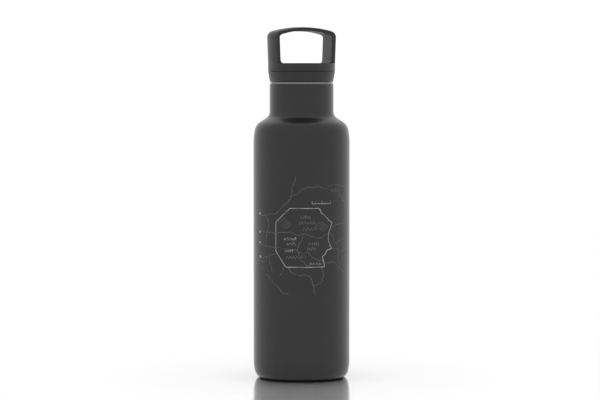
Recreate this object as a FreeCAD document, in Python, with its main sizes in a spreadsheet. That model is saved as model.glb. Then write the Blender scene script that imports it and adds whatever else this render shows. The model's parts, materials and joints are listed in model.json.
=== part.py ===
"""Insulated screw-cap water bottle with a carrying loop, as a parametric document.

Millimetres, +Z up, the origin at the centre of the foot on the surface the bottle stands on.
The front of the bottle faces -Y. The cap turns anticlockwise, seen from above, to come off.
"""

import FreeCAD, Part
import math
import os

import Sketcher

V = FreeCAD.Vector

# The driving dimensions: (name, value, meaning). Heights are above the surface it stands on.
DIMENSIONS = [
    ("body_radius", 36.9, "outside of the straight body"),
    ("shell_wall", 0.5, "outer shell sheet"),
    ("neck_radius", 24.5, "outside of the neck"),
    ("neck_top", 225.2, "end of the coated neck"),
    ("cone_top", 200.85, "shoulder cone meets the neck"),
    ("cone_edge_radius", 35.0, "shoulder cone meets the shoulder's outer slope"),
    ("cone_edge", 194.15, "height of the same corner"),
    ("shoulder_start", 185.4, "outer slope meets the straight body"),
    ("neck_blend", 5.8, "concave radius under the neck"),
    ("shoulder_edge_blend", 9.0, "convex radius at the edge of the cone"),
    ("shoulder_blend", 45.0, "slow radius into the straight body"),
    ("heel_start", 9.0, "straight body meets the heel's upper slope"),
    ("heel_turn_radius", 35.6, "heel's upper slope meets its lower slope"),
    ("heel_turn", 3.5, "height of the same corner"),
    ("heel_radius", 33.8, "heel's lower slope meets the underside"),
    ("heel_height", 0.9, "underside of the shell"),
    ("heel_blend", 35.0, "slow radius into the heel"),
    ("heel_turn_blend", 6.0, "radius between the heel's slopes"),
    ("heel_edge_blend", 0.7, "radius at the bottom edge"),
    ("rim_blend", 0.2, "coated edge of the neck"),
    ("base_opening", 32.2, "hole in the shell's underside"),
    ("liner_radius", 33.3, "outside of the inner vessel"),
    ("liner_wall", 0.4, "inner vessel sheet"),
    ("liner_neck_radius", 22.9, "outside of the inner vessel's neck"),
    ("liner_cone_top", 198.0, "inner cone meets the inner neck"),
    ("liner_cone_edge_radius", 31.4, "inner cone meets the inner slope"),
    ("liner_cone_edge", 192.5, "height of the same corner"),
    ("liner_shoulder_start", 184.4, "inner slope meets the straight liner"),
    ("liner_seam", 17.9, "weld between the liner and its bottom"),
    ("liner_floor", 12.4, "underside of the liner's bottom"),
    ("liner_corner", 5.0, "corner radius of the liner's bottom"),
    ("dome_rise", 1.6, "rise in the middle of the liner's bottom"),
    ("dome_blend", 6.0, "radius round the rise"),
    ("lip_radius", 23.8, "outside of the bare steel lip"),
    ("lip_height", 1.5, "lip above the coated neck"),
    ("lip_depth", 1.4, "lip inside the neck"),
    ("lip_blend", 0.35, "edges of the lip"),
    ("thread_lead", 8.0, "lift in one turn, two starts"),
    ("thread_height", 9.0, "height that one start climbs"),
    ("rib_base", 1.7, "thread rib at its root"),
    ("rib_crest", 0.8, "thread rib at its crest"),
    ("neck_rib_depth", 1.1, "thread rib inside the neck"),
    ("neck_rib_start", 212.5, "lower end of the neck's thread"),
    ("plug_radius", 20.9, "outside of the plug's core"),
    ("plug_rib_depth", 1.0, "thread rib on the plug"),
    ("plug_rib_start", 210.5, "lower end of the plug's thread"),
    ("plug_wall", 1.8, "plug wall"),
    ("plug_bottom", 203.0, "underside of the plug"),
    ("plug_floor_wall", 1.6, "disc in the bottom of the plug"),
    ("plug_floor_skirt", 1.2, "upstand round that disc"),
    ("plug_floor_height", 3.2, "top of the upstand above the underside"),
    ("foam_gap", 0.2, "foam off the plug"),
    ("flange_radius", 22.8, "plug flange over the gasket"),
    ("flange_bottom", 229.0, "underside of the flange"),
    ("flange_top", 230.2, "top of the flange"),
    ("boss_radius", 21.0, "plug boss inside the cap"),
    ("boss_top", 233.4, "top of the plug boss"),
    ("gasket_gap", 0.3, "gasket off the collar, and its bead below the flat"),
    ("gasket_bead", 0.6, "width of the bead's slope"),
    ("seal_gap", 0.05, "running gap at the gasket's faces"),
    ("collar_bottom", 226.8, "lower edge of the collar"),
    ("collar_top", 234.82, "upper edge of the collar"),
    ("collar_bottom_radius", 24.25, "collar at its lower edge"),
    ("collar_top_radius", 25.65, "collar at its upper edge"),
    ("collar_bore", 23.1, "collar round the gasket and flange"),
    ("ledge_top", 231.4, "top of the collar's inner ledge"),
    ("spigot_radius", 24.0, "spigot of the cap inside the collar"),
    ("cap_bottom", 234.88, "lower edge of the cap above the seam"),
    ("cap_bottom_radius", 25.7, "cap at its lower edge"),
    ("seam_bevel", 0.3, "bevels that make the seam's V groove"),
    ("cap_edge_radius", 26.5, "cap at its upper edge, before rounding"),
    ("cap_edge", 264.5, "height of the same edge"),
    ("cap_top", 268.6, "top of the loop"),
    ("crown_radius", 80.0, "crown of the loop"),
    ("crown_corner", 11.6, "distance from the axis where the crown's tangents meet"),
    ("cap_edge_blend", 4.8, "rounding of the crown's edge"),
    ("deck_top", 240.95, "flat deck under the loop"),
    ("deck_thickness", 2.6, "deck wall"),
    ("core_radius", 19.0, "hollow under the deck"),
    ("strap_half_width", 11.3, "half the width of the loop"),
    ("hole_bottom_half", 20.25, "finger hole, half its width at the deck"),
    ("hole_top_half", 21.05, "finger hole, half its width at the top"),
    ("hole_corner", 262.3, "height of the finger hole's upper corners"),
    ("hole_peak", 265.5, "top of the finger hole"),
    ("hole_peak_half", 10.0, "distance from the axis where the arch's tangents meet"),
    ("arch_radius", 55.0, "arch of the finger hole"),
    ("hole_blend", 2.6, "corners of the finger hole"),
    ("loop_edge_blend", 0.5, "edges of the loop"),
    ("loop_yaw", 18.4, "degrees the loop is turned from the bottle's front"),
    ("edge_blend", 0.3, "small edges of the moulded and pressed pieces"),
    ("foot_radius", 32.1, "outside of the foot ring"),
    ("foot_bore", 23.0, "inside of the foot ring"),
    ("cover_radius", 32.9, "outside of the base cover"),
    ("cover_dish_radius", 18.0, "edge of the cover's raised middle"),
    ("cover_dish_rise", 1.3, "rise of the cover's middle"),
    ("sheet_wall", 0.6, "base cover and vacuum base sheet"),
    ("panel_height", 6.2, "underside of the vacuum base's panel"),
    ("panel_radius", 27.0, "edge of that panel"),
    ("channel_height", 4.2, "underside of the channel round the panel"),
    ("channel_radius", 33.6, "outside of the channel"),
    ("base_rim_radius", 35.8, "rim of the vacuum base"),
    ("base_rim_top", 9.4, "top of the same rim"),
    ("dimple_radius", 4.5, "middle of the slope round the port's dimple"),
    ("dimple_depth", 1.0, "dimple below the panel"),
    ("bead_radius", 2.6, "glass bead over the port"),
    ("bead_height", 1.1, "glass bead above its seat"),
    ("port_radius", 1.0, "evacuation port"),
    ("getter_radius", 4.0, "getter pellet"),
    ("getter_height", 1.7, "getter pellet"),
    ("getter_offset", 19.0, "getter from the axis"),
    ("clip_wall", 0.35, "getter clip sheet"),
    ("clip_width", 4.0, "getter clip"),
    ("clip_foot", 2.5, "length of each foot of the clip"),
    ("clip_gap", 0.1, "clip off the pellet"),
    ("foil_gap", 0.12, "foil off the liner"),
    ("foil_wall", 0.12, "copper foil"),
    ("foil_bottom", 26.0, "lower edge of the foil"),
    ("foil_top", 178.0, "upper edge of the foil"),
]


class Size:
    """A length in mm, with the sheet expression that drives it."""

    def __init__(self, value, text):
        self.value = float(value)
        self.text = text

    def __add__(self, other):
        other = as_size(other)
        return Size(self.value + other.value, f"({self.text} + {other.text})")

    def __sub__(self, other):
        other = as_size(other)
        return Size(self.value - other.value, f"({self.text} - {other.text})")

    def __mul__(self, other):
        other = as_size(other)
        return Size(self.value * other.value, f"({self.text} * {other.text})")

    def __neg__(self):
        return self * -1

    def __radd__(self, other):
        return as_size(other) + self


def as_size(number):
    """A Size as it is, or a plain number as a Size."""
    return number if isinstance(number, Size) else Size(number, str(float(number)))


class Sizes:
    """The sheet's cells by name."""


def make_sheet(doc):
    """Writes the driving dimensions to the sheet and returns them by name."""
    sheet = doc.addObject("Spreadsheet::Sheet", "dims")
    sizes = Sizes()
    for row, (name, value, meaning) in enumerate(DIMENSIONS, start=1):
        sheet.set(f"A{row}", meaning)
        sheet.set(f"B{row}", str(value))
        sheet.setAlias(f"B{row}", name)
        setattr(sizes, name, Size(value, f"dims.{name}"))
    doc.recompute()
    return sizes


def bind(feature, name, size):
    """Drives one property of a feature from the sheet."""
    feature.setExpression(name, as_size(size).text)


def new_body(doc, name):
    body = doc.addObject("PartDesign::Body", name)
    body.Label = name
    return body


def origin_feature(body, role):
    return next(item for item in body.Origin.OriginFeatures if item.Role == role)


def new_sketch(body, name, plane="XZ_Plane"):
    sketch = body.newObject("Sketcher::SketchObject", name)
    sketch.AttachmentSupport = [(origin_feature(body, plane), "")]
    sketch.MapMode = "FlatFace"
    return sketch


def constrain(sketch, constraint, size=None):
    """Adds a constraint, driven from the sheet when it has a size."""
    index = sketch.addConstraint(constraint)
    if size is not None:
        sketch.setExpression(f"Constraints[{index}]", size.text)


def fix_point(sketch, geometry, position, x, y):
    """Ties a point to the sketch's origin by two driven distances."""
    for kind, axis, size in (("DistanceX", -2, x), ("DistanceY", -1, y)):
        if size.value == 0:
            constrain(sketch, Sketcher.Constraint("PointOnObject", geometry, position, axis))
        elif size.value < 0:
            constrain(sketch, Sketcher.Constraint(kind, geometry, position, -1, 1, -size.value), -size)
        else:
            constrain(sketch, Sketcher.Constraint(kind, -1, 1, geometry, position, size.value), size)


def outline(sketch, corners):
    """Draws a closed outline whose corners are (x, y) or, where rounded, (x, y, radius)."""
    count = len(corners)
    places = [(as_size(corner[0]), as_size(corner[1])) for corner in corners]
    radii = [as_size(corner[2]) if len(corner) > 2 else None for corner in corners]
    points = [V(x.value, y.value, 0) for x, y in places]
    arrive, leave = [], []
    for index, here in enumerate(points):
        back = (points[index - 1] - here).normalize()
        ahead = (points[(index + 1) % count] - here).normalize()
        half_turn = (math.pi - back.getAngle(ahead)) / 2
        reach = radii[index].value * math.tan(half_turn) if radii[index] else 0
        arrive.append(here + back * reach)
        leave.append(here + ahead * reach)
    lines = [sketch.addGeometry(Part.LineSegment(leave[index], arrive[(index + 1) % count]))
             for index in range(count)]
    for index, (x, y) in enumerate(places):
        before, after = lines[index - 1], lines[index]
        if radii[index] is None:
            constrain(sketch, Sketcher.Constraint("Coincident", before, 2, after, 1))
            fix_point(sketch, after, 1, x, y)
        else:
            round_corner(sketch, (before, after), (arrive[index], leave[index]), (x, y), radii[index])


def round_corner(sketch, lines, ends, place, radius):
    """Joins two lines by a tangent arc; their own corner stays as a fixed construction point."""
    start, end = ends
    corner = V(place[0].value, place[1].value, 0)
    middle = (start + end) * 0.5
    out = (middle - corner).normalize()
    half_chord = (start - middle).Length
    centre = middle + out * math.sqrt(max(radius.value ** 2 - half_chord ** 2, 0))
    turns_left = (start - corner).cross(end - corner).z < 0
    first, last = (start, end) if turns_left else (end, start)
    angles = [math.atan2(point.y - centre.y, point.x - centre.x) for point in (first, last)]
    arc = sketch.addGeometry(Part.ArcOfCircle(Part.Circle(centre, V(0, 0, 1), radius.value), *angles))
    spot = sketch.addGeometry(Part.Point(corner), True)
    constrain(sketch, Sketcher.Constraint("Tangent", lines[0], 2, arc, 1 if turns_left else 2))
    constrain(sketch, Sketcher.Constraint("Tangent", lines[1], 1, arc, 2 if turns_left else 1))
    constrain(sketch, Sketcher.Constraint("Radius", arc, radius.value), radius)
    for line in lines:
        constrain(sketch, Sketcher.Constraint("PointOnObject", spot, 1, line))
    fix_point(sketch, spot, 1, *place)


def circle(sketch, radius, x=0, y=0):
    """Draws a driven circle."""
    x, y = as_size(x), as_size(y)
    index = sketch.addGeometry(Part.Circle(V(x.value, y.value, 0), V(0, 0, 1), radius.value))
    constrain(sketch, Sketcher.Constraint("Radius", index, radius.value), radius)
    fix_point(sketch, index, 3, x, y)


def revolve(body, name, corners, kind="PartDesign::Revolution"):
    """Turns an outline drawn as (radius, height) corners about the bottle's axis."""
    sketch = new_sketch(body, name + "_profile")
    outline(sketch, corners)
    feature = body.newObject(kind, name)
    feature.Profile = sketch
    feature.ReferenceAxis = (sketch, ["V_Axis"])
    feature.Angle = 360
    body.Document.recompute()
    return feature


def level_sketch(body, name, height):
    """A sketch parallel to the ground at a driven height."""
    sketch = new_sketch(body, name, "XY_Plane")
    sketch.setExpression("AttachmentOffset.Base.z", as_size(height).text)
    return sketch


def faces_at(shape, height):
    """Names of the level faces at a height."""
    return [f"Face{index}" for index, face in enumerate(shape.Faces, start=1)
            if face.BoundBox.ZLength < 1e-4 and abs(face.CenterOfMass.z - height.value) < 1e-4]


def hollow(body, solid, wall, open_heights):
    """Leaves a wall just inside a solid's outside, with the level faces at these heights open."""
    feature = body.newObject("PartDesign::Thickness", solid.Name + "_wall")
    names = [name for height in open_heights for name in faces_at(solid.Shape, as_size(height))]
    feature.Base = (solid, names)
    feature.Reversed = True
    feature.Join = 0
    bind(feature, "Value", wall)
    body.Document.recompute()
    return feature


def cut_circle(body, name, height, radius, depth, x=0):
    """Cuts a round hole downwards from a height."""
    sketch = level_sketch(body, name + "_circle", height)
    circle(sketch, radius, x)
    feature = body.newObject("PartDesign::Pocket", name)
    feature.Profile = sketch
    bind(feature, "Length", depth)
    body.Document.recompute()
    return feature


def thread(body, name, sizes, radius, depth, start, outward, phase=0):
    """Adds a two-start right-hand thread of rounded ribs to a round wall."""
    side = 1 if outward else -1
    buried = radius - 0.25 * side
    crest = radius + depth * side
    half_root, half_crest = sizes.rib_base * 0.5, sizes.rib_crest * 0.5
    ribs = []
    for turn in (0, 180):
        sketch = new_sketch(body, f"{name}_{turn}_profile")
        outline(sketch, [
            (buried, start - half_root), (crest, start - half_crest),
            (crest, start + half_crest), (buried, start + half_root),
        ][::side])
        sketch.AttachmentOffset = FreeCAD.Placement(V(), FreeCAD.Rotation(V(0, 1, 0), turn + phase))
        rib = body.newObject("PartDesign::AdditiveHelix", f"{name}_{turn}")
        rib.Profile = sketch
        rib.ReferenceAxis = (sketch, ["V_Axis"])
        rib.Mode = "pitch-height-angle"
        bind(rib, "Pitch", sizes.thread_lead)
        bind(rib, "Height", sizes.thread_height)
        body.Document.recompute()
        ribs.append(rib)
    return ribs


def fillet(body, base, name, radius, wanted):
    """Rounds the edges of the last feature that the test picks out."""
    feature = body.newObject("PartDesign::Fillet", name)
    picked = [f"Edge{index}" for index, edge in enumerate(base.Shape.Edges, start=1) if wanted(edge)]
    feature.Base = (base, picked)
    bind(feature, "Radius", radius)
    body.Document.recompute()
    return feature


# ---- the bottle ----

def outer_shell(doc, sizes):
    """Drawn steel shell: rolled-in heel, straight body, conical shoulder and neck."""
    body = new_body(doc, "outer_shell")
    form = revolve(body, "shell_form", [
        (0, sizes.heel_height),
        (sizes.heel_radius, sizes.heel_height, sizes.heel_edge_blend),
        (sizes.heel_turn_radius, sizes.heel_turn, sizes.heel_turn_blend),
        (sizes.body_radius, sizes.heel_start, sizes.heel_blend),
        (sizes.body_radius, sizes.shoulder_start, sizes.shoulder_blend),
        (sizes.cone_edge_radius, sizes.cone_edge, sizes.shoulder_edge_blend),
        (sizes.neck_radius, sizes.cone_top, sizes.neck_blend),
        (sizes.neck_radius, sizes.neck_top),
        (0, sizes.neck_top),
    ])
    hollow(body, form, sizes.shell_wall, [sizes.neck_top])
    cut_circle(body, "base_hole", sizes.heel_height + sizes.shell_wall * 2, sizes.base_opening,
               sizes.shell_wall * 3)
    rim_radius = sizes.neck_radius.value
    fillet(body, body.Tip, "neck_rim", sizes.rim_blend,
           lambda edge: is_circle(edge, rim_radius, sizes.neck_top.value))
    return body


def is_circle(edge, radius, height):
    """True for a circle about the axis with this radius and height."""
    return (isinstance(edge.Curve, Part.Circle) and abs(edge.Curve.Radius - radius) < 1e-3
            and abs(edge.Curve.Center.z - height) < 1e-3)


def inner_vessel(doc, sizes):
    """Steel liner: straight tube, shoulder, threaded neck and the bare lip that the cap seals on."""
    body = new_body(doc, "inner_vessel")
    form = revolve(body, "liner_form", [
        (0, sizes.liner_seam),
        (sizes.liner_radius, sizes.liner_seam),
        (sizes.liner_radius, sizes.liner_shoulder_start, sizes.shoulder_blend),
        (sizes.liner_cone_edge_radius, sizes.liner_cone_edge, sizes.neck_blend),
        (sizes.liner_neck_radius, sizes.liner_cone_top, sizes.neck_blend),
        (sizes.liner_neck_radius, sizes.neck_top),
        (0, sizes.neck_top),
    ])
    hollow(body, form, sizes.liner_wall, [sizes.liner_seam, sizes.neck_top])
    bore = sizes.liner_neck_radius - sizes.liner_wall
    socket = sizes.neck_radius - sizes.shell_wall
    lip_top = sizes.neck_top + sizes.lip_height
    revolve(body, "lip", [
        (bore, sizes.neck_top - sizes.lip_depth),
        (socket, sizes.neck_top - sizes.lip_depth),
        (socket, sizes.neck_top),
        (sizes.lip_radius, sizes.neck_top),
        (sizes.lip_radius, lip_top, sizes.lip_blend),
        (bore, lip_top, sizes.lip_blend),
    ])
    thread(body, "neck_thread", sizes, bore, sizes.neck_rib_depth, sizes.neck_rib_start, outward=False)
    return body


def inner_bottom(doc, sizes):
    """Bottom cup of the liner, butt-welded to the tube."""
    body = new_body(doc, "inner_bottom")
    dome_top = sizes.liner_floor + sizes.dome_rise
    form = revolve(body, "cup_form", [
        (0, dome_top),
        (sizes.liner_radius * 0.5, dome_top, sizes.dome_blend),
        (sizes.liner_radius * 0.66, sizes.liner_floor, sizes.dome_blend),
        (sizes.liner_radius, sizes.liner_floor, sizes.liner_corner),
        (sizes.liner_radius, sizes.liner_seam),
        (0, sizes.liner_seam),
    ])
    hollow(body, form, sizes.liner_wall, [sizes.liner_seam])
    return body


def vacuum_base(doc, sizes):
    """Pressed disc that closes the vacuum space, with the evacuation port in a central dimple."""
    body = new_body(doc, "vacuum_base")
    dimple = sizes.panel_height - sizes.dimple_depth
    slope = 0.9
    form = revolve(body, "vacuum_form", [
        (0, dimple),
        (sizes.dimple_radius - slope, dimple),
        (sizes.dimple_radius + slope, sizes.panel_height, sizes.sheet_wall),
        (sizes.panel_radius, sizes.panel_height, 4.0),
        (sizes.panel_radius + 3.0, sizes.channel_height, 4.0),
        (sizes.channel_radius, sizes.channel_height, 1.4),
        (sizes.base_rim_radius, sizes.base_rim_top),
        (0, sizes.base_rim_top),
    ])
    hollow(body, form, sizes.sheet_wall, [sizes.base_rim_top])
    cut_circle(body, "port", dimple + sizes.sheet_wall * 1.5, sizes.port_radius, sizes.sheet_wall * 2)
    return body


def solder_seal(doc, sizes):
    """Glass bead that plugs the evacuation port after pumping."""
    body = new_body(doc, "solder_seal")
    stem = sizes.panel_height - sizes.dimple_depth
    seat = stem + sizes.sheet_wall
    top = seat + sizes.bead_height
    revolve(body, "bead", [
        (0, stem), (sizes.port_radius, stem), (sizes.port_radius, seat), (sizes.bead_radius, seat),
        (sizes.bead_radius * 0.73, top, 0.5), (0, top),
    ])
    return body


def base_cover(doc, sizes):
    """Dished cover disc welded on the shell's rolled-in heel."""
    body = new_body(doc, "base_cover")
    seat = sizes.heel_height + sizes.shell_wall
    top = seat + sizes.sheet_wall
    inside, outside = sizes.cover_dish_radius - 1.0, sizes.cover_dish_radius + 1.0
    lean = sizes.sheet_wall * 0.5
    revolve(body, "cover", [
        (0, seat + sizes.cover_dish_rise), (inside, seat + sizes.cover_dish_rise, 1.0),
        (outside, seat, 1.6), (sizes.cover_radius, seat), (sizes.cover_radius, top),
        (outside - lean, top, 1.0), (inside - lean, top + sizes.cover_dish_rise, 1.6),
        (0, top + sizes.cover_dish_rise),
    ])
    return body


def foot_ring(doc, sizes):
    """Silicone ring glued under the cover, which the bottle stands on."""
    body = new_body(doc, "foot_ring")
    seat = sizes.heel_height + sizes.shell_wall
    revolve(body, "ring", [
        (sizes.foot_bore, 0, sizes.edge_blend), (sizes.foot_radius, 0, sizes.edge_blend),
        (sizes.foot_radius, seat), (sizes.foot_bore, seat),
    ])
    return body


def getter_pellet(doc, sizes):
    """Pressed getter disc that keeps the vacuum."""
    pellet = doc.addObject("Part::Cylinder", "getter_pellet")
    pellet.Label = "getter_pellet"
    bind(pellet, "Radius", sizes.getter_radius)
    bind(pellet, "Height", sizes.getter_height)
    bind(pellet, "Placement.Base.x", sizes.getter_offset)
    bind(pellet, "Placement.Base.z", sizes.panel_height + sizes.sheet_wall)
    return pellet


def getter_clip(doc, sizes):
    """Sheet bridge that holds the pellet on the vacuum base."""
    body = new_body(doc, "getter_clip")
    seat = sizes.panel_height + sizes.sheet_wall
    top = seat + sizes.getter_height + sizes.clip_gap
    inside = sizes.getter_radius + sizes.clip_gap
    outside = inside + sizes.clip_wall
    foot = inside + sizes.clip_foot
    centre = sizes.getter_offset
    sketch = new_sketch(body, "bridge_profile")
    outline(sketch, [
        (centre - foot, seat), (centre - inside, seat), (centre - inside, top), (centre + inside, top),
        (centre + inside, seat), (centre + foot, seat), (centre + foot, seat + sizes.clip_wall),
        (centre + outside, seat + sizes.clip_wall), (centre + outside, top + sizes.clip_wall),
        (centre - outside, top + sizes.clip_wall), (centre - outside, seat + sizes.clip_wall),
        (centre - foot, seat + sizes.clip_wall),
    ])
    pad = body.newObject("PartDesign::Pad", "bridge")
    pad.Profile = sketch
    pad.Midplane = True
    bind(pad, "Length", sizes.clip_width)
    doc.recompute()
    return body


def copper_foil(doc, sizes):
    """Reflecting foil round the liner."""
    body = new_body(doc, "copper_foil")
    inside = sizes.liner_radius + sizes.foil_gap
    sketch = level_sketch(body, "foil_rings", sizes.foil_bottom)
    circle(sketch, inside)
    circle(sketch, inside + sizes.foil_wall)
    pad = body.newObject("PartDesign::Pad", "foil")
    pad.Profile = sketch
    bind(pad, "Length", sizes.foil_top - sizes.foil_bottom)
    doc.recompute()
    return body


# ---- the cap ----

def threaded_plug(doc, sizes):
    """Moulded plug: hollow core with the outside thread, gasket flange and weld boss."""
    body = new_body(doc, "threaded_plug")
    bore = sizes.plug_radius - sizes.plug_wall
    roof = sizes.flange_top - sizes.plug_wall
    revolve(body, "core", [
        (bore, sizes.plug_bottom), (sizes.plug_radius, sizes.plug_bottom, 0.6),
        (sizes.plug_radius, sizes.flange_bottom), (sizes.flange_radius, sizes.flange_bottom),
        (sizes.flange_radius, sizes.flange_top), (sizes.boss_radius, sizes.flange_top),
        (sizes.boss_radius, sizes.boss_top), (sizes.core_radius, sizes.boss_top),
        (sizes.core_radius, sizes.flange_top), (0, sizes.flange_top), (0, roof), (bore, roof),
    ])
    thread(body, "plug_thread", sizes, sizes.plug_radius, sizes.plug_rib_depth, sizes.plug_rib_start,
           outward=True)
    return body


def plug_floor(doc, sizes):
    """Disc welded into the bottom of the plug over the foam."""
    body = new_body(doc, "plug_floor")
    bore = sizes.plug_radius - sizes.plug_wall
    inside = bore - sizes.plug_floor_skirt
    disc_top = sizes.plug_bottom + sizes.plug_floor_wall
    skirt_top = sizes.plug_bottom + sizes.plug_floor_height
    revolve(body, "floor", [
        (0, sizes.plug_bottom), (bore, sizes.plug_bottom), (bore, skirt_top),
        (inside, skirt_top), (inside, disc_top, sizes.edge_blend), (0, disc_top),
    ])
    return body


def foam_puck(doc, sizes):
    """Insulating foam inside the plug."""
    body = new_body(doc, "foam_puck")
    radius = sizes.plug_radius - sizes.plug_wall - sizes.foam_gap
    bottom = sizes.plug_bottom + sizes.plug_floor_height + sizes.foam_gap
    top = sizes.flange_top - sizes.plug_wall - sizes.foam_gap
    revolve(body, "puck", [(0, bottom), (radius, bottom, 0.8), (radius, top, 0.8), (0, top)])
    return body


def mouth_gasket(doc, sizes):
    """Silicone ring that the cap presses on the steel lip."""
    body = new_body(doc, "mouth_gasket")
    bottom = sizes.neck_top + sizes.lip_height + sizes.seal_gap
    top = sizes.flange_bottom - sizes.seal_gap
    inside = sizes.plug_radius + sizes.seal_gap * 2
    outside = sizes.collar_bore - sizes.gasket_gap
    bead = sizes.liner_neck_radius - sizes.gasket_bead
    revolve(body, "gasket", [
        (inside, bottom + sizes.gasket_gap), (bead - sizes.gasket_gap, bottom + sizes.gasket_gap),
        (bead, bottom), (outside, bottom, sizes.edge_blend), (outside, top, sizes.edge_blend),
        (inside, top),
    ])
    return body


def cap_collar(doc, sizes):
    """Tapered ring below the seam, clamped between the plug's flange and the cap's spigot."""
    body = new_body(doc, "cap_collar")
    revolve(body, "collar", [
        (sizes.collar_bore, sizes.collar_bottom),
        (sizes.collar_bottom_radius, sizes.collar_bottom, sizes.edge_blend),
        (sizes.collar_top_radius, sizes.collar_top - sizes.seam_bevel),
        (sizes.collar_top_radius - sizes.seam_bevel, sizes.collar_top),
        (sizes.spigot_radius, sizes.collar_top),
        (sizes.spigot_radius, sizes.ledge_top),
        (sizes.boss_radius, sizes.ledge_top),
        (sizes.boss_radius, sizes.flange_top),
        (sizes.collar_bore, sizes.flange_top),
    ])
    return body


def loop_cap(doc, sizes):
    """Upper cap: hollow deck with a spigot below, and the carrying loop above it in one moulding."""
    body = new_body(doc, "loop_cap")
    roof = sizes.deck_top - sizes.deck_thickness
    revolve(body, "cap_form", [
        (sizes.boss_radius, sizes.ledge_top), (sizes.spigot_radius, sizes.ledge_top),
        (sizes.spigot_radius, sizes.cap_bottom),
        (sizes.cap_bottom_radius - sizes.seam_bevel, sizes.cap_bottom),
        (sizes.cap_bottom_radius, sizes.cap_bottom + sizes.seam_bevel),
        (sizes.cap_bottom_radius, sizes.deck_top, 3.0),
        (sizes.cap_edge_radius, sizes.cap_edge, sizes.cap_edge_blend),
        (sizes.crown_corner, sizes.cap_top, sizes.crown_radius),
        (0, sizes.cap_top), (0, roof), (sizes.core_radius, roof, 1.0),
        (sizes.core_radius, sizes.boss_top), (sizes.boss_radius, sizes.boss_top),
    ])
    side_cuts(body, sizes)
    finger_hole(body, sizes)
    round_loop(body, sizes)
    leg_coves(body, sizes)
    body.Placement = FreeCAD.Placement(V(), FreeCAD.Rotation(V(0, 0, 1), sizes.loop_yaw.value))
    body.setExpression("Placement.Rotation.Angle", sizes.loop_yaw.text)
    return body


def side_cuts(body, sizes):
    """Cuts both sides away above the deck, which leaves a strap across the cap."""
    clear = 40.0
    for name, near, far in (("front_cut", -sizes.strap_half_width, -clear),
                            ("back_cut", sizes.strap_half_width, clear)):
        sketch = level_sketch(body, name + "_outline", sizes.deck_top)
        outline(sketch, [(-clear, near), (clear, near), (clear, far), (-clear, far)])
        cut = body.newObject("PartDesign::Pocket", name)
        cut.Profile = sketch
        cut.Reversed = True
        bind(cut, "Length", clear)
        body.Document.recompute()


def finger_hole(body, sizes):
    """Opens the strap into a loop with a shallow arch over it."""
    sketch = new_sketch(body, "hole_outline")
    outline(sketch, [
        (-sizes.hole_bottom_half, sizes.deck_top),
        (sizes.hole_bottom_half, sizes.deck_top),
        (sizes.hole_top_half, sizes.hole_corner, sizes.hole_blend),
        (sizes.hole_peak_half, sizes.hole_peak, sizes.arch_radius),
        (-sizes.hole_peak_half, sizes.hole_peak, sizes.arch_radius),
        (-sizes.hole_top_half, sizes.hole_corner, sizes.hole_blend),
    ])
    hole = body.newObject("PartDesign::Pocket", "finger_hole")
    hole.Profile = sketch
    hole.Midplane = True
    bind(hole, "Length", sizes.strap_half_width * 4)
    body.Document.recompute()


def round_loop(body, sizes):
    """Rounds the long edges of the loop."""
    width = sizes.strap_half_width.value
    low = sizes.deck_top.value + 0.01

    def on_strap_side(edge):
        box = edge.BoundBox
        flat = box.YLength < 1e-3 and abs(abs(box.Center.y) - width) < 1e-3
        return flat and box.ZMax > low
    fillet(body, body.Tip, "loop_edges", sizes.loop_edge_blend, on_strap_side)


def leg_coves(body, sizes):
    """Fills the corners between the loop's legs and the deck with a concave radius."""
    share = 0.12
    half, deck = sizes.hole_bottom_half, sizes.deck_top
    drafted_half = half + (sizes.hole_top_half - half) * share
    drafted_height = deck + (sizes.hole_corner - deck) * share
    for side, turn in (("right", 1), ("left", -1)):
        sketch = new_sketch(body, side + "_cove_outline")
        outline(sketch, [
            ((half - 3) * turn, deck - 0.5), ((half + 1) * turn, deck - 0.5),
            ((half + 1) * turn, drafted_height), (drafted_half * turn, drafted_height),
            (half * turn, deck, sizes.hole_blend), ((half - 3) * turn, deck),
        ])
        cove = body.newObject("PartDesign::Pad", side + "_cove")
        cove.Profile = sketch
        cove.Midplane = True
        bind(cove, "Length", (sizes.strap_half_width - sizes.loop_edge_blend) * 2)
        body.Document.recompute()


PIECES = (
    outer_shell, inner_vessel, inner_bottom, vacuum_base, solder_seal, base_cover, foot_ring,
    getter_pellet, getter_clip, copper_foil, threaded_plug, plug_floor, foam_puck, mouth_gasket,
    cap_collar, loop_cap,
)


def check(doc, pieces):
    """Stops if any object failed or any piece isn't one valid solid."""
    for item in doc.Objects:
        if "Invalid" in item.State or "Error" in item.State:
            raise RuntimeError(f"{item.Name} failed: {item.State}")
    for piece in pieces:
        shape = piece.Shape
        if shape.isNull() or not shape.isValid() or len(shape.Solids) != 1:
            raise RuntimeError(f"{piece.Label} isn't one valid solid")


def main():
    doc = FreeCAD.newDocument("insulated_bottle")
    sizes = make_sheet(doc)
    pieces = [make(doc, sizes) for make in PIECES]
    doc.recompute()
    check(doc, pieces)
    os.makedirs("parts", exist_ok=True)
    for piece in pieces:
        piece.Shape.exportStep(f"parts/{piece.Label}.step")
        print(f"{piece.Label}: {piece.Shape.Volume:.0f} mm3")


main()
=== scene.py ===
"""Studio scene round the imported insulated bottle: materials, laser-engraved map, floor, light, camera.

Metres, +Z up, the bottle's front faces -Y. The engraving is drawn on the body unrolled flat:
"across" is the distance round the surface to the right of the front line, "up" the height.
"""

import json
import math
import random

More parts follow.
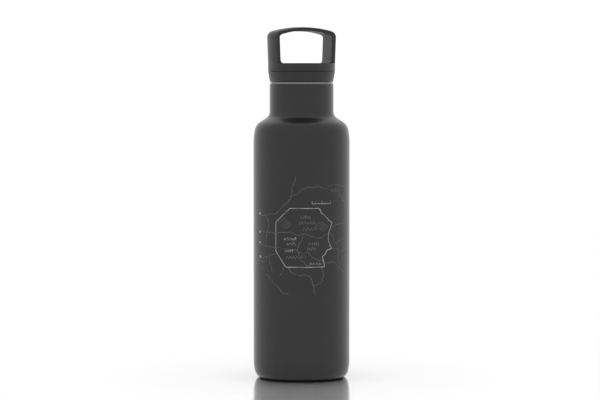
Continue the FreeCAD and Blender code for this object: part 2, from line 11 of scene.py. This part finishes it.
import bpy
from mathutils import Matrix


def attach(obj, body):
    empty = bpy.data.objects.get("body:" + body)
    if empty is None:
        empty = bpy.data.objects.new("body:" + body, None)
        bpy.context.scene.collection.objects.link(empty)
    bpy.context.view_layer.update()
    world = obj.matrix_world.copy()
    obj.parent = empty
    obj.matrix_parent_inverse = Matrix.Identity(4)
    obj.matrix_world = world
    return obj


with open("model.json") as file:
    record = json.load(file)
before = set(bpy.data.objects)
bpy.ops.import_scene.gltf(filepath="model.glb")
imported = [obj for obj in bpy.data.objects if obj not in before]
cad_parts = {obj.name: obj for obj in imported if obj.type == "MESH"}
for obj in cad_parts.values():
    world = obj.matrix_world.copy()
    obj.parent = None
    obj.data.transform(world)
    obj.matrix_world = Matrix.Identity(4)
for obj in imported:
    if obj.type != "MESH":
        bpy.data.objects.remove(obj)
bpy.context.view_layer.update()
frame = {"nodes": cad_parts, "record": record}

MM = 0.001

# ---- camera ----
CAMERA_PLACE = (-1.2 * MM, -1.7951, 0.228)
CAMERA_PITCH = math.radians(2.93)
SENSOR_WIDTH = 36.0
LENS = 140.4

# ---- light ----
BACKDROP_STRENGTH = 1.04
LIGHT_STRENGTH = 1.02

# ---- floor; it lies just under the foot, so that the two faces don't share one plane ----
FLOOR_RADIUS = 5.0
FLOOR_SIDES = 128
FLOOR_HEIGHT = -0.05 * MM
FLOOR_ROUGHNESS = 0.14
FLOOR_MATT_SHARE = 0.195
SHADOW_REACH = 0.3
SHADOW_BLACK = 0.55     # share of open sky at which the matt part is black
SHADOW_CLEAR = 0.94     # share of open sky from which it is white

# ---- places on the bottle, as in the CAD ----
MOUNTS = {mount["name"]: mount["dims"] for mount in frame["record"]["mounts"]}
BODY_RADIUS = MOUNTS["body"]["r_mm"] * MM
LOOP_YAW = math.radians(18.4)
HOLE_HALF = 21.1 * MM   # just past the finger hole's upper half width
DECK_TOP = 241.2 * MM   # just above the deck
LIP_EDGE = 23.55 * MM   # just inside the lip's outer face

# ---- engraving ----
BOLD_RISE = 0.03 * MM   # proud of the coat
FINE_RISE = 0.02 * MM
SINK = 0.06 * MM        # below the coat's surface
STEP = 1.0 * MM         # longest straight stretch on the round body

# ---- widths of its lines, in mm as the drawing's own points ----
BOUNDARY_WIDTH = 0.45
BAR_WIDTH = 0.3
TICK_WIDTH = 0.25
SIGN_WIDTH = 0.24
TRACK_WIDTH = 0.22
BOUGH_WIDTH = 0.2
CONTOUR_WIDTH = 0.16
DOT_RADIUS = 0.5
DOT_WIDTH = 0.95        # nearly fills the dot


# ---- materials ----

def new_material(name, color, roughness, metallic=0.0, ior=1.45):
    """A material whose shader's even values are set on its own sockets."""
    material = bpy.data.materials.new(name)
    material.use_nodes = True
    shader = material.node_tree.nodes["Principled BSDF"]
    shader.inputs["Base Color"].default_value = (*color, 1.0)
    shader.inputs["Roughness"].default_value = roughness
    shader.inputs["Metallic"].default_value = metallic
    shader.inputs["IOR"].default_value = ior
    return material


def noise(material, size, stretch=(1, 1, 1), detail=3.0):
    """Noise on the piece's own coordinates; size is one grain's width in metres."""
    nodes, links = material.node_tree.nodes, material.node_tree.links
    place = nodes.new("ShaderNodeTexCoord")
    mapping = nodes.new("ShaderNodeMapping")
    mapping.inputs["Scale"].default_value = [part / size for part in stretch]
    texture = nodes.new("ShaderNodeTexNoise")
    texture.inputs["Scale"].default_value = 1.0
    texture.inputs["Detail"].default_value = detail
    links.new(place.outputs["Object"], mapping.inputs["Vector"])
    links.new(mapping.outputs["Vector"], texture.inputs["Vector"])
    return texture.outputs["Fac"]


def vary(material, source, socket, low, high):
    """Drives a shader value or colour between two ends by a texture."""
    nodes, links = material.node_tree.nodes, material.node_tree.links
    shader = nodes["Principled BSDF"]
    if socket == "Base Color":
        ramp = nodes.new("ShaderNodeValToRGB")
        ramp.color_ramp.elements[0].position = 0.3
        ramp.color_ramp.elements[1].position = 0.7
        ramp.color_ramp.elements[0].color = (*low, 1.0)
        ramp.color_ramp.elements[1].color = (*high, 1.0)
        links.new(source, ramp.inputs["Fac"])
        links.new(ramp.outputs["Color"], shader.inputs[socket])
        return
    span = nodes.new("ShaderNodeMapRange")
    span.inputs["From Min"].default_value = 0.3
    span.inputs["From Max"].default_value = 0.7
    span.inputs["To Min"].default_value = low
    span.inputs["To Max"].default_value = high
    links.new(source, span.inputs["Value"])
    links.new(span.outputs["Result"], shader.inputs[socket])


def emboss(material, source, depth, strength=1.0):
    """Raises the surface by a texture; a second call adds to the first."""
    nodes, links = material.node_tree.nodes, material.node_tree.links
    normal = nodes["Principled BSDF"].inputs["Normal"]
    bump = nodes.new("ShaderNodeBump")
    bump.inputs["Distance"].default_value = depth
    bump.inputs["Strength"].default_value = strength
    if normal.is_linked:
        links.new(normal.links[0].from_socket, bump.inputs["Normal"])
    links.new(source, bump.inputs["Height"])
    links.new(bump.outputs["Normal"], normal)


def powder_coat():
    """Matt black powder coat: fine sprayed grain over a slow orange peel."""
    material = new_material("powder_coat", (0.003, 0.003, 0.0032), 0.25, ior=1.5)
    grain = noise(material, 0.35 * MM, detail=4.0)
    peel = noise(material, 2.2 * MM, detail=1.0)
    cloud = noise(material, 30 * MM, detail=2.0)
    vary(material, cloud, "Base Color", (0.002, 0.002, 0.0022), (0.004, 0.004, 0.0042))
    vary(material, grain, "Roughness", 0.21, 0.29)
    emboss(material, peel, 0.006 * MM, 0.4)
    emboss(material, grain, 0.008 * MM, 0.6)
    return material


def moulded_plastic(name, color, roughness, texture_size=0.22 * MM):
    """Black polypropylene with the fine spark-eroded texture of its mould."""
    material = new_material(name, color, roughness, ior=1.49)
    grain = noise(material, texture_size, detail=2.0)
    flow = noise(material, 9 * MM, stretch=(1, 1, 0.4), detail=1.0)
    vary(material, flow, "Base Color", [part * 0.92 for part in color], [part * 1.08 for part in color])
    vary(material, grain, "Roughness", roughness - 0.05, roughness + 0.05)
    emboss(material, grain, 0.006 * MM, 0.6)
    return material


def roughen_loop(material, extra=0.11):
    """The faces round the finger hole keep a coarser texture than the polished outside."""
    nodes, links = material.node_tree.nodes, material.node_tree.links
    shader = nodes["Principled BSDF"]
    even = shader.inputs["Roughness"].links[0].from_socket
    place = nodes.new("ShaderNodeTexCoord")
    turned = nodes.new("ShaderNodeVectorRotate")
    turned.rotation_type = "Z_AXIS"
    turned.inputs["Angle"].default_value = -LOOP_YAW
    split = nodes.new("ShaderNodeSeparateXYZ")
    links.new(place.outputs["Object"], turned.inputs["Vector"])
    links.new(turned.outputs["Vector"], split.inputs["Vector"])
    across = calculate(material, "ABSOLUTE", split.outputs["X"], 0.0)
    between = calculate(material, "LESS_THAN", across, HOLE_HALF)
    above = calculate(material, "GREATER_THAN", split.outputs["Z"], DECK_TOP)
    inside = calculate(material, "MULTIPLY", between, above)
    coarser = calculate(material, "MULTIPLY", inside, extra)
    links.new(calculate(material, "ADD", even, coarser), shader.inputs["Roughness"])


def paint_recess_shade(material, radius, color):
    """Past this radius the metal's colour is darkened: painted shade for the recess between the neck and
    the cap.
    """
    nodes, links = material.node_tree.nodes, material.node_tree.links
    shader = nodes["Principled BSDF"]
    place = nodes.new("ShaderNodeTexCoord")
    flat = nodes.new("ShaderNodeVectorMath")
    flat.operation = "MULTIPLY"
    flat.inputs[1].default_value = (1.0, 1.0, 0.0)
    reach = nodes.new("ShaderNodeVectorMath")
    reach.operation = "LENGTH"
    links.new(place.outputs["Object"], flat.inputs[0])
    links.new(flat.outputs["Vector"], reach.inputs[0])
    mix = nodes.new("ShaderNodeMix")
    mix.data_type = "RGBA"
    mix.inputs["B"].default_value = (*color, 1.0)
    links.new(shader.inputs["Base Color"].links[0].from_socket, mix.inputs["A"])
    links.new(calculate(material, "GREATER_THAN", reach.outputs["Value"], radius), mix.inputs["Factor"])
    links.new(mix.outputs["Result"], shader.inputs["Base Color"])


def calculate(material, operation, first, second):
    """One sum on a texture value; the second value may be a plain number."""
    node = material.node_tree.nodes.new("ShaderNodeMath")
    node.operation = operation
    material.node_tree.links.new(first, node.inputs[0])
    if isinstance(second, (int, float)):
        node.inputs[1].default_value = second
    else:
        material.node_tree.links.new(second, node.inputs[1])
    return node.outputs["Value"]


def turned_steel(name, color, roughness, line=0.12 * MM):
    """Stainless steel polished on a lathe: fine rings round the axis."""
    material = new_material(name, color, roughness, metallic=1.0, ior=2.5)
    rings = noise(material, line, stretch=(0.02, 0.02, 1), detail=3.0)
    smear = noise(material, 6 * MM, detail=2.0)
    vary(material, rings, "Roughness", roughness - 0.08, roughness + 0.1)
    vary(material, smear, "Base Color", [part * 0.93 for part in color], color)
    emboss(material, rings, 0.002 * MM, 0.5)
    return material


def silicone():
    """Soft black silicone with a dusting of fine grain."""
    material = new_material("silicone", (0.004, 0.004, 0.004), 0.55, ior=1.3)
    grain = noise(material, 0.3 * MM)
    vary(material, grain, "Roughness", 0.48, 0.62)
    emboss(material, grain, 0.005 * MM, 0.5)
    return material


def wrinkled_copper():
    """Thin copper foil, creased as it was wrapped."""
    material = new_material("copper", (0.72, 0.40, 0.27), 0.22, metallic=1.0, ior=1.5)
    creases = noise(material, 5 * MM, stretch=(1, 1, 0.35), detail=4.0)
    vary(material, creases, "Roughness", 0.16, 0.34)
    emboss(material, creases, 0.25 * MM, 0.5)
    return material


def rigid_foam():
    """Closed-cell foam: small pale cells."""
    material = new_material("foam", (0.80, 0.79, 0.74), 0.8)
    nodes, links = material.node_tree.nodes, material.node_tree.links
    place = nodes.new("ShaderNodeTexCoord")
    cells = nodes.new("ShaderNodeTexVoronoi")
    cells.inputs["Scale"].default_value = 1 / (0.7 * MM)
    links.new(place.outputs["Object"], cells.inputs["Vector"])
    vary(material, cells.outputs["Distance"], "Base Color", (0.70, 0.69, 0.64), (0.84, 0.83, 0.79))
    emboss(material, cells.outputs["Distance"], 0.2 * MM)
    return material


def pressed_powder():
    """Grey getter alloy pressed from powder."""
    material = new_material("getter_alloy", (0.2, 0.2, 0.21), 0.6, metallic=0.6)
    grain = noise(material, 0.15 * MM)
    vary(material, grain, "Base Color", (0.14, 0.14, 0.15), (0.26, 0.26, 0.27))
    emboss(material, grain, 0.03 * MM)
    return material


def solder_glass():
    """Dark fused glass bead with faint bubbles."""
    material = new_material("solder_glass", (0.05, 0.07, 0.09), 0.08, ior=1.6)
    bubbles = noise(material, 0.5 * MM)
    vary(material, bubbles, "Base Color", (0.04, 0.05, 0.07), (0.10, 0.13, 0.16))
    emboss(material, bubbles, 0.02 * MM, 0.4)
    return material


def lasered_steel(name, color):
    """Steel bared by the laser: dull, with scorch that deepens and fades along each line."""
    material = new_material(name, color, 0.5, metallic=0.85, ior=2.0)
    scorch = noise(material, 6 * MM, detail=5.0)
    vary(material, scorch, "Base Color", [part * 0.5 for part in color], [part * 1.5 for part in color])
    vary(material, scorch, "Roughness", 0.42, 0.6)
    return material


def dress(frame):
    """Gives every CAD node its finish."""
    coat = powder_coat()
    cap = moulded_plastic("cap_plastic", (0.0045, 0.0045, 0.0046), 0.38)
    roughen_loop(cap)
    plug = moulded_plastic("plug_plastic", (0.011, 0.011, 0.0112), 0.42)
    lip = turned_steel("bare_steel", (0.52, 0.52, 0.51), 0.30)
    # painted shade: the lip's outer face is darkened where it sits in the recess under the cap
    paint_recess_shade(lip, LIP_EDGE, (0.19, 0.19, 0.187))
    drawn = turned_steel("drawn_steel", (0.56, 0.56, 0.55), 0.28, line=0.3 * MM)
    rubber = silicone()
    finishes = {
        "outer_shell": coat, "base_cover": coat, "inner_vessel": lip, "inner_bottom": drawn,
        "vacuum_base": drawn, "getter_clip": drawn, "foot_ring": rubber, "mouth_gasket": rubber,
        "loop_cap": cap, "cap_collar": cap, "threaded_plug": plug, "plug_floor": plug,
        "copper_foil": wrinkled_copper(), "foam_puck": rigid_foam(),
        "getter_pellet": pressed_powder(), "solder_seal": solder_glass(),
    }
    for name, material in finishes.items():
        node = frame["nodes"][name]
        node.data.materials.clear()
        node.data.materials.append(material)


# ---- the laser-engraved map ----

class Lines:
    """Thin closed strips wrapped on the body, gathered into one mesh."""

    def __init__(self, rise):
        self.outside = BODY_RADIUS + rise
        self.points = []
        self.faces = []

    def wrap(self, across, up, radius):
        """Where a point of the unrolled drawing lies on the round body."""
        turn = across / BODY_RADIUS
        return (radius * math.sin(turn), -radius * math.cos(turn), up)

    def draw(self, path, width, closed=False):
        """Adds one strip along a path of (across, up) points in mm."""
        path = even_steps([(across * MM, up * MM) for across, up in path], closed)
        count = len(path)
        first = len(self.points)
        for index, (across, up) in enumerate(path):
            before = path[index - 1] if index or closed else path[index]
            after = path[(index + 1) % count] if index + 1 < count or closed else path[index]
            run, rise = after[0] - before[0], after[1] - before[1]
            reach = width * MM / 2 / math.hypot(run, rise)
            left = (across - rise * reach, up + run * reach)
            right = (across + rise * reach, up - run * reach)
            for side, radius in ((left, self.outside), (right, self.outside),
                                 (right, BODY_RADIUS - SINK), (left, BODY_RADIUS - SINK)):
                self.points.append(self.wrap(*side, radius))
        for index in range(count if closed else count - 1):
            here, ahead = first + 4 * index, first + 4 * ((index + 1) % count)
            for corner in range(4):
                other = (corner + 1) % 4
                self.faces.append((here + corner, ahead + corner, ahead + other, here + other))
        if not closed:
            last = first + 4 * (count - 1)
            self.faces.append((first, first + 1, first + 2, first + 3))
            self.faces.append((last + 3, last + 2, last + 1, last))

    def ring(self, across, up, radius, width, sides=16):
        """Adds a closed circle."""
        turns = [2 * math.pi * side / sides for side in range(sides)]
        self.draw([(across + radius * math.cos(turn), up + radius * math.sin(turn)) for turn in turns],
                  width, closed=True)

    def finish(self, name, material):
        """Makes the piece and hangs it on the bottle."""
        mesh = bpy.data.meshes.new(name)
        mesh.from_pydata(self.points, [], self.faces)
        mesh.materials.append(material)
        piece = bpy.data.objects.new(name, mesh)
        bpy.context.scene.collection.objects.link(piece)
        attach(piece, "bottle")
        return piece


def even_steps(path, closed):
    """Splits long runs of a path so that it can follow the round body."""
    ends = path[1:] + path[:1] if closed else path[1:]
    finer = []
    for start, end in zip(path, ends):
        pieces = max(1, math.ceil(math.dist(start, end) / STEP))
        for piece in range(pieces):
            share = piece / pieces
            finer.append((start[0] + (end[0] - start[0]) * share, start[1] + (end[1] - start[1]) * share))
    return finer if closed else finer + [path[-1]]


def wander(path, chance, wildness=0.16, rounds=3):
    """Roughens a path as a coast, river or track: each run's middle is pushed aside."""
    for _ in range(rounds):
        rougher = [path[0]]
        for start, end in zip(path, path[1:]):
            run, rise = end[0] - start[0], end[1] - start[1]
            push = chance.uniform(-wildness, wildness)
            rougher.append(((start[0] + end[0]) / 2 - rise * push, (start[1] + end[1]) / 2 + run * push))
            rougher.append(end)
        path = rougher
    return path


def boundary(lines, chance):
    """Edge of an invented mountain reserve: straight survey lines and a winding shore."""
    straight = [(-12.0, 87.2), (-20.4, 99.0), (-20.4, 121.0), (-9.0, 131.6), (13.0, 131.6)]
    shore = [(13.0, 131.6), (19.0, 125.0), (25.0, 121.0), (21.5, 111.0), (24.6, 101.0), (16.0, 95.0),
             (18.0, 87.2)]
    lines.draw(straight + wander(shore, chance, 0.14)[1:-1] + [(18.0, 87.2)], BOUNDARY_WIDTH,
               closed=True)


def tracks(lines, chance):
    """Roads, rivers and trails in and round the reserve."""
    runs = [
        [(-38, 127), (-30, 125.5), (-22, 127), (-14, 134), (-8, 141), (-7, 149)],
        [(-8, 141), (0, 146), (10, 148), (20, 146), (31, 149), (40, 147)],
        [(-38, 113), (-29, 113), (-20.4, 111.5), (-9, 114), (2, 112.5), (12, 109), (22, 113), (33, 119),
         (46, 121)],
        [(-38, 105), (-31, 102.5), (-20.4, 102), (-11, 101), (-3, 99), (5, 98.5), (12, 93), (19, 90)],
        [(2, 112.5), (-1, 106), (-3, 99), (0, 92), (7, 87.2)],
        [(-37.5, 94), (-29, 94.5), (-22, 96.5)],
        [(-37.5, 94), (-34, 88), (-31, 81), (-24, 76.5), (-18, 72), (-14, 67), (-10, 66.5)],
        [(-15, 91), (-8, 83), (-1, 81), (7, 79.5), (9, 73), (10.5, 66.5)],
        [(16.0, 87.2), (17.5, 80), (15.5, 75.5), (9, 73)],
        [(24.6, 101), (33, 98), (40, 99.5), (47, 98)],
        [(19, 90), (27, 90.5), (34, 85), (41, 80), (47, 79)],
        [(-27, 94.5), (-25, 88), (-23.5, 84)],
        [(-36, 91), (-32, 90), (-29, 94.5)],
        [(-30, 125.5), (-27, 119), (-29, 113), (-31, 102.5)],
        [(-14, 88.5), (-14.5, 84), (-17, 81)],
        [(-8, 83), (-9, 87.2)],
        [(33, 98), (31, 93), (34, 85)],
        [(22, 113), (27, 106), (33, 98)],
        [(27, 106), (36, 108), (46, 106)],
        [(31, 149), (33, 141), (40, 136), (46, 136)],
        [(-7, 149), (-4, 156)],
    ]
    for run in runs:
        lines.draw(wander(run, chance), TRACK_WIDTH)


def starts(lines):
    """Dots where the tracks begin, left of the reserve."""
    for across, up in ((-38, 127), (-38, 113), (-38, 105), (-37.5, 94)):
        lines.ring(across, up, DOT_RADIUS, DOT_WIDTH)


def signs(lines, chance, rows):
    """Rows of small mountains, trees and ponds; each row is (across, up, count, height)."""
    gap = 0.35
    for across, up, count, height in rows:
        foot = across
        for _ in range(count):
            tall = height * chance.uniform(0.8, 1.15)
            kind = chance.choice(("mountain", "mountain", "tree", "pond"))
            wide = {"mountain": 0.95 * tall, "tree": 1.2, "pond": 1.4}[kind]
            middle = foot + wide / 2
            if kind == "mountain":
                lines.draw([(foot, up), (middle, up + tall), (foot + wide, up)], SIGN_WIDTH)
            elif kind == "tree":
                boughs = up + 0.45 * tall
                lines.draw([(middle, up), (middle, up + tall)], SIGN_WIDTH)
                lines.draw([(foot, boughs), (middle, up + tall), (foot + wide, boughs)], BOUGH_WIDTH)
            else:
                lines.ring(middle, up + 0.8, 0.62, TRACK_WIDTH, sides=12)
            foot += wide + gap


def contours(lines, chance):
    """Height lines round two summits: three flattened, uneven rings round each."""
    spacing, flatness, sides = 1.45, 0.8, 24
    for across, up in ((-13.5, 120.5), (15.5, 118.0)):
        lean = chance.uniform(0, math.pi)
        for ring in (1, 2, 3):
            path = []
            for side in range(sides):
                turn = 2 * math.pi * side / sides
                reach = spacing * ring * (1 + 0.22 * math.cos(2 * turn + lean) + 0.07 * math.cos(5 * turn))
                path.append((across + reach * math.cos(turn), up + reach * flatness * math.sin(turn)))
            lines.draw(path, CONTOUR_WIDTH, closed=True)


def scale_bar(lines):
    """A plain scale bar with ticks above the reserve."""
    left, right, up, parts = 8.0, 23.5, 135.0, 6
    long_tick, short_tick = 1.9, 1.1
    lines.draw([(left, up), (right, up)], BAR_WIDTH)
    for part in range(parts + 1):
        across = left + (right - left) * part / parts
        tick = long_tick if part % 3 == 0 else short_tick
        lines.draw([(across, up), (across, up + tick)], TICK_WIDTH)


def engrave():
    """Draws the map on the body's front."""
    chance = random.Random(4)
    bold = Lines(BOLD_RISE)
    boundary(bold, chance)
    scale_bar(bold)
    starts(bold)
    signs(bold, chance, [(-13.5, 107.6, 5, 2.3), (-11.5, 103.8, 3, 2.3), (-13, 98.6, 4, 2.2),
                         (6, 88.8, 4, 2.0)])
    bold.finish("engraved_boundary", lasered_steel("lasered_steel", (0.36, 0.36, 0.355)))
    fine = Lines(FINE_RISE)
    tracks(fine, chance)
    signs(fine, chance, [(-1, 124.0, 5, 2.6), (-2, 119.6, 6, 2.6), (1, 114.8, 4, 2.4), (5, 103.6, 5, 2.4),
                         (4, 99.6, 4, 2.4), (-12, 93.4, 4, 2.3), (24, 143.5, 4, 2.6), (-1, 94.0, 2, 2.0)])
    contours(fine, chance)
    fine.finish("engraved_tracks", lasered_steel("lasered_coat", (0.16, 0.16, 0.158)))


# ---- stage, light and camera ----

def floor_material():
    """White gloss over matt white; the matt part falls into a soft shadow close to the bottle."""
    material = bpy.data.materials.new("floor_gloss")
    material.use_nodes = True
    nodes, links = material.node_tree.nodes, material.node_tree.links
    nodes.clear()
    gloss = nodes.new("ShaderNodeBsdfGlossy")
    gloss.inputs["Color"].default_value = (1.0, 1.0, 1.0, 1.0)
    gloss.inputs["Roughness"].default_value = FLOOR_ROUGHNESS
    matt = nodes.new("ShaderNodeBsdfDiffuse")
    open_sky = nodes.new("ShaderNodeAmbientOcclusion")
    open_sky.inputs["Distance"].default_value = SHADOW_REACH
    open_sky.samples = 8
    shade = nodes.new("ShaderNodeMapRange")
    shade.inputs["From Min"].default_value = SHADOW_BLACK
    shade.inputs["From Max"].default_value = SHADOW_CLEAR
    mix = nodes.new("ShaderNodeMixShader")
    mix.inputs["Fac"].default_value = FLOOR_MATT_SHARE
    output = nodes.new("ShaderNodeOutputMaterial")
    links.new(open_sky.outputs["AO"], shade.inputs["Value"])
    links.new(shade.outputs["Result"], matt.inputs["Color"])
    links.new(gloss.outputs["BSDF"], mix.inputs[1])
    links.new(matt.outputs["BSDF"], mix.inputs[2])
    links.new(mix.outputs["Shader"], output.inputs["Surface"])
    return material


def make_floor():
    """A wide pale floor, glossy enough to carry a soft reflection."""
    mesh = bpy.data.meshes.new("floor")
    rim = [(FLOOR_RADIUS * math.cos(turn), FLOOR_RADIUS * math.sin(turn), FLOOR_HEIGHT)
           for turn in (2 * math.pi * side / FLOOR_SIDES for side in range(FLOOR_SIDES))]
    mesh.from_pydata(rim, [], [list(range(FLOOR_SIDES))])
    mesh.materials.append(floor_material())
    floor = bpy.data.objects.new("floor", mesh)
    bpy.context.scene.collection.objects.link(floor)


def make_light():
    """Even white light from all round; the backdrop behind the bottle shows pure white."""
    world = bpy.data.worlds.new("studio")
    bpy.context.scene.world = world
    world.use_nodes = True
    nodes, links = world.node_tree.nodes, world.node_tree.links
    sky = nodes["Background"]
    sky.inputs["Color"].default_value = (1.0, 1.0, 1.0, 1.0)
    rays = nodes.new("ShaderNodeLightPath")
    choose = nodes.new("ShaderNodeMix")
    choose.inputs["A"].default_value = LIGHT_STRENGTH
    choose.inputs["B"].default_value = BACKDROP_STRENGTH
    links.new(rays.outputs["Is Camera Ray"], choose.inputs["Factor"])
    links.new(choose.outputs["Result"], sky.inputs["Strength"])
    bpy.context.scene.view_settings.view_transform = "Standard"


def make_camera():
    """A long lens in front of the bottle, level with the cap's collar and tilted a little down."""
    data = bpy.data.cameras.new("camera")
    data.lens = LENS
    data.sensor_width = SENSOR_WIDTH
    data.clip_start = 0.01
    data.clip_end = 10 * FLOOR_RADIUS
    camera = bpy.data.objects.new("camera", data)
    camera.location = CAMERA_PLACE
    camera.rotation_euler = (math.pi / 2 - CAMERA_PITCH, 0.0, 0.0)
    bpy.context.scene.collection.objects.link(camera)
    bpy.context.scene.camera = camera


make_camera()
make_light()
make_floor()
dress(frame)
engrave()
